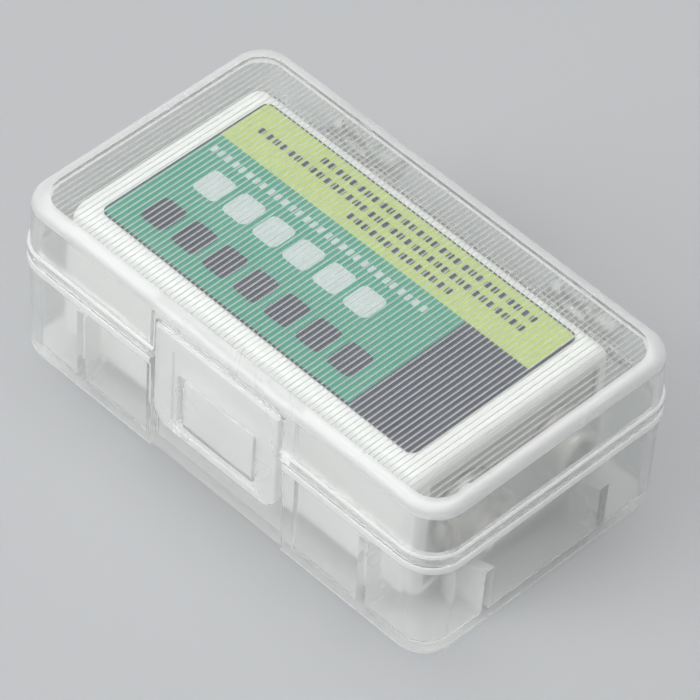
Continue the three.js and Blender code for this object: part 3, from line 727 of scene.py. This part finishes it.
def reeds():
    """The comb that forms the grooves in the lid's ceiling: one groove, repeated over the panel."""
    case = bpy.context.scene.case_sizes
    count = int(case.panel_length / case.reed_pitch)
    first = -(count - 1) * case.reed_pitch / 2
    half = case.reed_top / 2
    low = case.height - case.wall
    high = low + case.reed_depth
    grooves = block(
        "grooves", (first - half, -case.panel_width, low), (first + half, case.panel_width, high)
    )
    bpy.ops.object.mode_set(mode="EDIT")
    pick("faces", lambda face: face.normal.z > 0.5)
    narrowing = (case.reed_floor / case.reed_top, 1, 1)
    bpy.ops.transform.resize(value=narrowing, center_override=(first, 0, high))
    pick("faces", lambda face: face.normal.z < -0.5)
    extrude((0, 0, -PAST))
    bpy.ops.object.mode_set(mode="OBJECT")
    repeat(grooves, count, case.reed_pitch)
    levels = [(low - 2 * PAST, 0), (high + PAST, 0)]
    shape = (case.panel_length, case.panel_width, case.panel_corner)
    panel = loft("panel", *shape, levels, case.corner_segments)
    combine(panel, grooves, "INTERSECT")
    return panel


def lid_cover():
    """The lid with its lip, its reeded ceiling, its recess for the flap and its lugs."""
    case, latch = bpy.context.scene.case_sizes, bpy.context.scene.latch_sizes
    tongue_play = 0.3 * MM
    bead_top = case.rim_bottom + case.lid_bead
    channel_top = case.rim_top + case.tongue + tongue_play
    outside = quarter(case.rim_bottom, 0, case.bead_edge, -1, 3)[::-1]
    outside += quarter(bead_top, 0, case.bead_proud, 1, 3)
    outside += quarter(case.height, case.bead_proud + case.lid_draft, case.top_radius, 1, 9)
    shape = (case.length, case.width, case.corner)
    lid = loft("lid_cover", *shape, outside, case.corner_segments)
    inside = [(case.rim_bottom - PAST, case.lip), (channel_top, case.lip)]
    inside += [(channel_top, case.cavity_inset)]
    under = case.height - case.wall
    inside += quarter(under, case.cavity_inset + case.lid_draft, case.lid_inner_radius, 1, 3)
    cavity = loft("cavity", *shape, inside, case.corner_segments)
    join(cavity, reeds())
    wall_block = recess("wall_block", latch.lid_recess, case.rim_bottom, case.height, True)
    cut(cavity, wall_block)
    cut(lid, cavity)
    flap_space = recess("flap_space", latch.lid_recess, 0, latch.top + FLAP_GAP, False)
    cut(lid, flap_space)
    half = bpy.context.scene.hinge_sizes.lug_width / 2
    for x in hinge_places():
        join(lid, hinge_arm(x - half, x + half, 1))
        cut(lid, pin_bore(x))
    return lid


def in_panel(point, case, margin=0):
    """True if a point is inside the rounded outline of the reeded panel, grown by a margin."""
    corner = case.panel_corner + margin
    past_x = abs(point[0]) - case.panel_length / 2 + case.panel_corner
    past_y = abs(point[1]) - case.panel_width / 2 + case.panel_corner
    if past_x > 0 and past_y > 0:
        return math.hypot(past_x, past_y) < corner
    return max(past_x, past_y) < corner


def part_border(lid, case, height, way, margin):
    """Parts a flat side of the lid's top along the reeded panel's outline, grown by a margin.

    The side is at a height, and way is 1 if it faces up and -1 if it faces down.
    """
    steps, inside_arc = 4, 0.99
    only(lid)
    bpy.ops.object.mode_set(mode="EDIT")
    on_side = lambda face: face.normal.z * way > 0.99 and abs(middle(face).z - height) < TOUCH
    halves = (case.panel_length / 2, case.panel_width / 2)
    inner = [half - case.panel_corner for half in halves]
    for axis in (0, 1):
        outer = halves[axis] + margin
        normal = (1 - axis, axis, 0)
        for reach in (-outer, -inner[axis], inner[axis], outer):
            pick("faces", on_side)
            divide([reach * n for n in normal], normal)
    for side_x, side_y in ((-1, -1), (-1, 1), (1, -1), (1, 1)):
        at_corner = lambda face: (
            on_side(face)
            and side_x * middle(face).x > inner[0]
            and side_y * middle(face).y > inner[1]
        )
        centre = Vector((side_x * inner[0], side_y * inner[1], 0))
        for step in range(steps):
            angle = math.radians(90 * (step + 0.5) / steps)
            normal = Vector((side_x * math.cos(angle), side_y * math.sin(angle), 0))
            pick("faces", at_corner)
            divide(centre + normal * (case.panel_corner + margin) * inside_arc, normal)
    bpy.ops.object.mode_set(mode="OBJECT")


def on_rim(face, case):
    """True if a face is on the outside of the beads, which stand proud of the walls."""
    slack = 0.05 * MM
    x, y, _ = face.center
    past_x, past_y = abs(x) - case.length / 2, abs(y) - case.width / 2
    if past_x < -case.corner and past_y < -case.corner:
        return False
    if past_x > -case.corner and past_y > -case.corner:
        reach = math.hypot(past_x + case.corner, past_y + case.corner) - case.corner
    else:
        reach = max(past_x, past_y)
    return -case.bead_proud - slack < reach < TOUCH


def flap():
    """The latch flap: rounded lower corners, a window for the catch and a shallow thumb dish."""
    case, latch = bpy.context.scene.case_sizes, bpy.context.scene.latch_sizes
    rim, window_corner = 0.25 * MM, 0.5 * MM
    dish_corner, dish_edge, dish_drop = 0.6 * MM, 0.15 * MM, 0.2 * MM
    face = -case.width / 2
    half = latch.width / 2
    back = face + latch.thickness
    panel = block("latch_tab", (-half, face, latch.bottom), (half, back, latch.top))
    low_corner = lambda e: runs_along(e, 1) and middle(e).z < latch.bottom + TOUCH
    round_edges(panel, low_corner, latch.corner, 12)
    round_edges(panel, lambda e: not runs_along(e, 1), rim, 4)
    before, behind = face - PAST, back + PAST
    half = latch.window_width / 2
    window = block(
        "window", (-half, before, latch.window_bottom), (half, behind, latch.window_top)
    )
    round_edges(window, lambda e: runs_along(e, 1), window_corner, 5)
    half = latch.dish_width / 2
    dish_floor = face + latch.dish_depth
    dish = block(
        "dish",
        (-half, before, latch.window_bottom - dish_drop),
        (half, dish_floor, latch.dish_top),
    )
    round_edges(dish, lambda e: runs_along(e, 1), dish_corner, 5)
    round_edges(dish, lambda e: abs(middle(e).y - face - latch.dish_depth) < TOUCH, dish_edge, 3)
    cut(panel, dish)
    cut(panel, window)
    return panel


# Pieces of the battery


def lay_down(piece):
    """Turns a piece that was built upright, so that it lies along X where the battery is."""
    battery = bpy.context.scene.battery_sizes
    turn = Matrix(((0, 0, 1, 0), (1, 0, 0, 0), (0, 1, 0, 0), (0, 0, 0, 1)))
    place = (battery.start, 0, battery.bottom + battery.thickness / 2)
    piece.matrix_world = Matrix.Translation(place) @ turn
    return settle(piece)


def jacket():
    """The film-covered can, with its ends turned in over the end plates."""
    battery = bpy.context.scene.battery_sizes
    turn_in, lip, wall, corner_steps = 1.1 * MM, 1.6 * MM, 0.4 * MM, 8
    shape = (battery.width, battery.thickness, battery.corner)
    outside = quarter(0, 0, turn_in, -1, 5)[::-1] + quarter(battery.length, 0, turn_in, 1, 5)
    film = loft("battery_film", *shape, outside, corner_steps)
    near_mouth = [(-PAST, lip), (wall, lip)]
    bore = [(wall, wall), (battery.length - wall, wall)]
    far_mouth = [(battery.length - wall, lip), (battery.length + PAST, lip)]
    for levels in (near_mouth, far_mouth, bore):
        cut(film, loft("hollow", *shape, levels, corner_steps))
    return lay_down(film)


def label_face():
    """Height of the label's face."""
    battery = bpy.context.scene.battery_sizes
    return battery.bottom + battery.thickness + LABEL_RISE


def label():
    """The printed label: a thin sheet with a keyline and three blocks of ink."""
    low_x, high_x, half_width = -22.4 * MM, 20.2 * MM, 11.25 * MM
    corner, keyline, thickness = 0.9 * MM, 0.2 * MM, 0.13 * MM
    band_y, block_x = 4.6 * MM, 11.6 * MM
    teal, lime, navy = range(3)
    top = label_face()
    centre_x = (low_x + high_x) / 2
    sheet = plane("printed_label", high_x - low_x, 2 * half_width, (centre_x, 0, top))
    bpy.ops.object.mode_set(mode="EDIT")
    round_outline(corner, 8)
    bpy.ops.mesh.inset(thickness=keyline, depth=0)
    for point, normal in (((0, band_y, top), (0, 1, 0)), ((block_x, 0, top), (1, 0, 0))):
        bpy.ops.mesh.select_all(action="SELECT")
        divide(point, normal)
    bpy.ops.object.mode_set(mode="OBJECT")
    modify(sheet, "SOLIDIFY", thickness=thickness, offset=-1)
    inks = ("teal_ink", "lime_ink", "navy_ink")
    complete(sheet, inks, "battery", "printed_label", "battery_label")
    key_x, key_y = (high_x - low_x) / 2 - keyline, half_width - keyline
    for face in sheet.data.polygons:
        x, y = face.center.x, face.center.y
        on_keyline = abs(x - centre_x) > key_x or abs(y) > key_y
        if on_keyline or face.normal.z < 0.5:
            face.material_index = navy
        elif y > band_y:
            face.material_index = lime
        else:
            face.material_index = navy if x > block_x else teal


def ink_row(name, ink, corner, opposite, count, gap):
    """A row of equal printed marks between two (x, y) corners, all in mm as the gaps are."""
    sunk, proud, roundness = 0.05 * MM, 0.03 * MM, 0.2
    top = label_face()
    gap = gap * MM
    (x, y), (far_x, far_y) = [(a * MM, b * MM) for a, b in (corner, opposite)]
    pitch = (far_x - x + gap) / count
    mark = block(name, (x, y, top - sunk), (x + pitch - gap, far_y, top + proud))
    corner_radius = roundness * min(pitch - gap, far_y - y)
    round_edges(mark, lambda e: runs_along(e, 2), corner_radius, 4)
    repeat(mark, count, pitch)
    complete(mark, [ink], "battery", "printed_label")


def label_marks():
    """Plain blocks and rules of ink."""
    ink_row("pale_blocks", "pale_ink", (-19, -2.5), (5, 0.9), 6, 0.9)
    ink_row("dark_blocks", "navy_ink", (-19.5, -8.9), (9.4, -5.2), 7, 1.0)
    ink_row("pale_rule", "pale_ink", (-21.4, 2.3), (8, 3.2), 30, 0.45)
    for i, (start, end) in enumerate(((-13, 16), (-20, 16), (-6, 8))):
        low, high = 9.2 - 1.7 * i, 10.0 - 1.7 * i
        marks = round(end - start)
        ink_row(f"dark_rule_{i + 1}", "navy_ink", (start, low), (end, high), marks, 0.4)


def terminal_place(side):
    """Foot of a terminal: side is 1 for the stud and -1 for the socket."""
    battery = bpy.context.scene.battery_sizes
    foot = battery.start + battery.length - FOOT_DEPTH
    return (foot, side * battery.terminal_offset, battery.bottom + battery.thickness / 2)


def stud():
    """The positive stud, drawn from sheet with a waist below a rounded crown."""
    reach = bpy.context.scene.battery_sizes.terminal_height + FOOT_DEPTH
    foot = [(0.85, 0), (3.75, 0), (3.75, 0.35), (2.85, 0.35), (2.65, 0.5), (2.65, 1.35)]
    crown = [(2.8, 0.95), (2.85, 0.65), (2.8, 0.35), (2.6, 0.12), (2.25, 0), (1.95, 0.1)]
    crown += [(1.8, 0.5)]
    inside = [(1.75, 0.35), (0.85, 0.35), (0.85, 0)]
    profile = [(r * MM, z * MM) for r, z in foot]
    profile += [(r * MM, reach - drop * MM) for r, drop in crown]
    profile += [(r * MM, z * MM) for r, z in inside]
    return turned("stud_terminal", profile, terminal_place(1))


def socket():
    """The negative socket: six spring petals that flare outwards."""
    near, far, half_length, half_width = 0.75 * MM, 4 * MM, 5 * MM, 0.3 * MM
    top = (bpy.context.scene.battery_sizes.terminal_height + FOOT_DEPTH) / MM
    outer = [(3.9, 0), (3.75, 0.9), (3.65, 1.5), (3.75, 2.0), (4.05, top - 0.05), (3.95, top)]
    inner = [(3.75, top), (3.4, 2.0), (3.3, 1.5), (3.4, 0.9), (3.5, 0.5), (3.3, 0.35)]
    profile = [(0.85, 0), *outer, *inner, (0.85, 0.35), (0.85, 0)]
    place = terminal_place(-1)
    petals = turned("socket_terminal", [(r * MM, z * MM) for r, z in profile], place)
    for i in range(3):
        slit = block("slit", (near, -half_length, -half_width), (far, half_length, half_width))
        turn = Matrix.Rotation((i + 0.5) * math.pi / 3, 4, "X")
        slit.matrix_world = Matrix.Translation(place) @ turn
        cut(petals, settle(slit))
    return petals


def living_hinge():
    """The thin web that joins the flap's top edge to the lid, parted into strips along its height.
    """
    case, latch = bpy.context.scene.case_sizes, bpy.context.scene.latch_sizes
    short, below, above, strips = 0.3 * MM, 0.3 * MM, 0.4 * MM, 8
    front, rear = 0.28 * MM, 0.04 * MM
    back = -case.width / 2 + latch.thickness
    half = latch.width / 2 - short
    low, high = latch.top - below, latch.top + above
    web = block("living_hinge", (-half, back - front, low), (half, back - rear, high))
    bpy.ops.object.mode_set(mode="EDIT")
    for i in range(1, strips):
        bpy.ops.mesh.select_all(action="SELECT")
        divide((0, 0, low + (high - low) * i / strips), (0, 0, 1))
    bpy.ops.object.mode_set(mode="OBJECT")
    return web


# Operators, one for each piece or group of like pieces


class CASE_OT_tray(Operator):
    """Models the tray and its catch, ribs and hinge knuckles"""

    bl_idname = "battery_case.tray"
    bl_label = "Tray"

    def execute(self, context):
        case, latch = context.scene.case_sizes, context.scene.latch_sizes
        half_rib, rib_top, catch_bottom, catch_top = 0.65 * MM, 11.1 * MM, 6.8 * MM, 13.3 * MM
        finishes = ("moulded_polypropylene", "frosted_polypropylene", "milky_polypropylene")
        frosted, milky = 1, 2
        tray = complete(tray_shell(), finishes, "tray", "case_plastic", "tray_base")
        for face in tray.data.polygons:
            x, y, z = face.center
            on_cradle = abs(abs(x) - case.cradle_place) < half_rib
            on_rib = on_cradle or abs(abs(y) - case.stop_place) < half_rib
            on_catch = abs(x) < latch.catch_width / 2 + TOUCH and y < -latch.recess_face - TOUCH
            on_bead = on_rim(face, case) and case.rim_top - case.tray_bead < z < case.rim_top
            if on_bead or (z < case.bottom_radius and face.normal.z < 0.5):
                face.material_index = milky
            elif (on_rib and z < rib_top) or (on_catch and catch_bottom < z < catch_top):
                face.material_index = frosted
        return {"FINISHED"}


class CASE_OT_lid(Operator):
    """Models the lid with its reeded panel"""

    bl_idname = "battery_case.lid"
    bl_label = "Lid"

    def execute(self, context):
        case = context.scene.case_sizes
        ceiling, bead_top = case.height - case.wall, case.rim_bottom + case.lid_bead
        top_edge, sloping = 1 * MM, 0.3
        kinds = ("moulded", "polished", "frosted", "milky", "reeded")
        _, polished, frosted, milky, reeded = range(len(kinds))
        lid = lid_cover()
        part_border(lid, case, ceiling, -1, 0)
        part_border(lid, case, case.height, 1, case.matt_margin)
        finishes = [f"{kind}_polypropylene" for kind in kinds]
        complete(lid, finishes, "lid", "case_plastic", "lid_shell")
        inside_x, inside_y = case.length / 2 - case.cavity_inset, case.width / 2 - case.cavity_inset
        for face in lid.data.polygons:
            x, y, z = face.center
            in_grooves = ceiling - TOUCH < z < ceiling + case.reed_depth + TOUCH
            in_hollow = abs(x) < inside_x and abs(y) < inside_y
            if in_grooves and in_panel(face.center, case):
                face.material_index = reeded if abs(face.normal.x) > sloping else polished
            elif z > case.height - TOUCH and in_panel(face.center, case, case.matt_margin):
                face.material_index = polished
            elif z > case.height - top_edge:
                face.material_index = frosted
            elif in_hollow and ceiling - case.lid_inner_radius < z < ceiling + TOUCH:
                face.material_index = frosted
            elif on_rim(face, case) and bead_top - case.bead_proud < z < bead_top:
                face.material_index = milky
        return {"FINISHED"}


class CASE_OT_latch(Operator):
    """Models the latch flap and the web along its top edge"""

    bl_idname = "battery_case.latch"
    bl_label = "Latch flap"

    def execute(self, context):
        complete(flap(), ["frosted_polypropylene"], "latch", "case_plastic", "latch_flap")
        web = only(living_hinge())
        bpy.ops.object.shade_smooth_by_angle(angle=SMOOTH_ANGLE)
        web.data.materials.append(finish("frosted_polypropylene"))
        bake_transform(web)
        return {"FINISHED"}


class CASE_OT_pins(Operator):
    """Models the two hinge pins with their rounded ends"""

    bl_idname = "battery_case.pins"
    bl_label = "Hinge pins"

    def execute(self, context):
        hinge = context.scene.hinge_sizes
        reach, edge = hinge_reach(), 0.15 * MM
        for x, side in zip(hinge_places(), ("left", "right")):
            pin = rod(f"wire_pin_{side}", hinge.pin, x - reach, x + reach, hinge.y, hinge.z)
            round_edges(pin, lambda e: abs(abs(middle(e).x - x) - reach) < TOUCH, edge, 3)
            complete(pin, ["drawn_wire"], "tray", "steel_wire", f"hinge_pin_{side}")
        return {"FINISHED"}


class CASE_OT_battery(Operator):
    """Models the battery's jacket, label and terminals"""

    bl_idname = "battery_case.battery"
    bl_label = "Battery"

    def execute(self, context):
        film, metal = ["white_shrink_film"], ["nickel_plated_steel"]
        complete(jacket(), film, "battery", "battery_film", "battery_jacket")
        label()
        label_marks()
        complete(stud(), metal, "battery", "nickel_plate", "positive_stud")
        complete(socket(), metal, "battery", "nickel_plate", "negative_socket")
        return {"FINISHED"}


class CASE_OT_inner_parts(Operator):
    """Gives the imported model's own solids, such as those inside the battery, their finishes"""

    bl_idname = "battery_case.inner_parts"
    bl_label = "Inner parts"

    def execute(self, context):
        finishes = {
            "case_plastic": "moulded_polypropylene",
            "steel_wire": "drawn_wire",
            "battery_film": "white_shrink_film",
            "printed_label": "teal_ink",
            "grey_board": "pressed_grey_board",
            "nickel_plate": "nickel_plated_steel",
            "insulator": "insulating_card",
            "cell_can": "deep_drawn_can",
        }
        for solid in frame["record"]["subparts"]:
            materials = frame["nodes"][solid["node"]].data.materials
            materials.clear()
            materials.append(finish(finishes[solid["material_slot"]]))
        return {"FINISHED"}


class CASE_OT_stage(Operator):
    """Sets the floor, the lamps, the background and the camera"""

    bl_idname = "battery_case.stage"
    bl_label = "Stage"

    def execute(self, context):
        across, below = 6, -0.02 * MM  # just under the case, so that the two never meet
        floor = plane("studio_floor", across, across, (0, 0, below))
        floor.data.materials.append(finish("studio_paper"))
        light_studio(context.scene)
        place_camera(context.scene)
        return {"FINISHED"}


def light_studio(scene):
    """Soft boxes overhead and in front of the latch, a weak fill and a pale surround."""
    lamps = {  # place, width and height in metres, and power in watts
        "overhead": ((-0.05, 0.10, 0.65), (0.5, 0.5), 1.6),
        "front": ((-0.30, -0.50, 0.35), (0.4, 0.4), 1.75),
        "fill": ((0.60, -0.15, 0.25), (0.3, 0.3), 0.3),
    }
    surround = {"Color": (0.9, 0.9, 0.91, 1), "Strength": 0.5}
    for name, (place, (wide, high), power) in lamps.items():
        lamp = bpy.data.lights.new(name, "AREA")
        lamp.shape = "RECTANGLE"
        lamp.size, lamp.size_y = wide, high
        lamp.energy = power
        lamp_object = bpy.data.objects.new(name, lamp)
        lamp_object.location = place
        lamp_object.rotation_mode = "QUATERNION"
        lamp_object.rotation_quaternion = (-Vector(place)).to_track_quat("-Z", "Y")
        scene.collection.objects.link(lamp_object)
    scene.world = bpy.data.worlds.new("pale_surround")
    scene.world.use_nodes = True
    for name, value in surround.items():
        scene.world.node_tree.nodes["Background"].inputs[name].default_value = value
    scene.view_settings.view_transform = "Standard"
    scene.cycles.transparent_max_bounces = 48  # light passes many thin walls


def place_camera(scene):
    """The photograph's viewpoint: its direction, distance and slight roll."""
    azimuth, elevation, roll = map(math.radians, (42.58, 46.98, -4.0))
    place = (0.24316, -0.26332, 0.39383)
    level = math.cos(elevation)
    back = Vector((math.sin(azimuth) * level, -math.cos(azimuth) * level, math.sin(elevation)))
    right = (-back).cross(Vector((0, 0, 1))).normalized()
    down = (-back).cross(right)
    turned_right = right * math.cos(roll) + down * math.sin(roll)
    turned_down = down * math.cos(roll) - right * math.sin(roll)
    camera = bpy.data.cameras.new("camera")
    camera.lens, camera.sensor_width = 278.83, 36
    camera.clip_start, camera.clip_end = 0.02, 20
    placed = bpy.data.objects.new("camera", camera)
    turn = Matrix((turned_right, -turned_down, back)).transposed().to_4x4()
    placed.matrix_world = Matrix.Translation(place) @ turn
    scene.collection.objects.link(placed)
    scene.camera = placed


class CASE_PT_sidebar(Panel):
    """Lists the steps that build the battery case"""

    bl_label = "Battery Case"
    bl_space_type = "VIEW_3D"
    bl_region_type = "UI"
    bl_category = "Battery Case"

    def draw(self, context):
        for step in STEPS:
            self.layout.operator(step.bl_idname)
        for group in SIZES:
            box = self.layout.box()
            for name in getattr(context.scene, group).bl_rna.properties.keys():
                if name not in ("rna_type", "name"):
                    box.prop(getattr(context.scene, group), name)


STEPS = (
    CASE_OT_stage,
    CASE_OT_tray,
    CASE_OT_lid,
    CASE_OT_latch,
    CASE_OT_pins,
    CASE_OT_battery,
    CASE_OT_inner_parts,
)
SIZES = {
    "case_sizes": CaseSizes,
    "latch_sizes": LatchSizes,
    "hinge_sizes": HingeSizes,
    "battery_sizes": BatterySizes,
    "case_colours": CaseColours,
}


def register():
    for group in (*SIZES.values(), *STEPS, CASE_PT_sidebar):
        bpy.utils.register_class(group)
    for name, group in SIZES.items():
        setattr(bpy.types.Scene, name, PointerProperty(type=group))


def unregister():
    for name in SIZES:
        delattr(bpy.types.Scene, name)
    for group in reversed((*SIZES.values(), *STEPS, CASE_PT_sidebar)):
        bpy.utils.unregister_class(group)


def main():
    register()
    for step in STEPS:
        group, name = step.bl_idname.split(".")
        getattr(getattr(bpy.ops, group), name)()


if __name__ == "__main__":
    main()
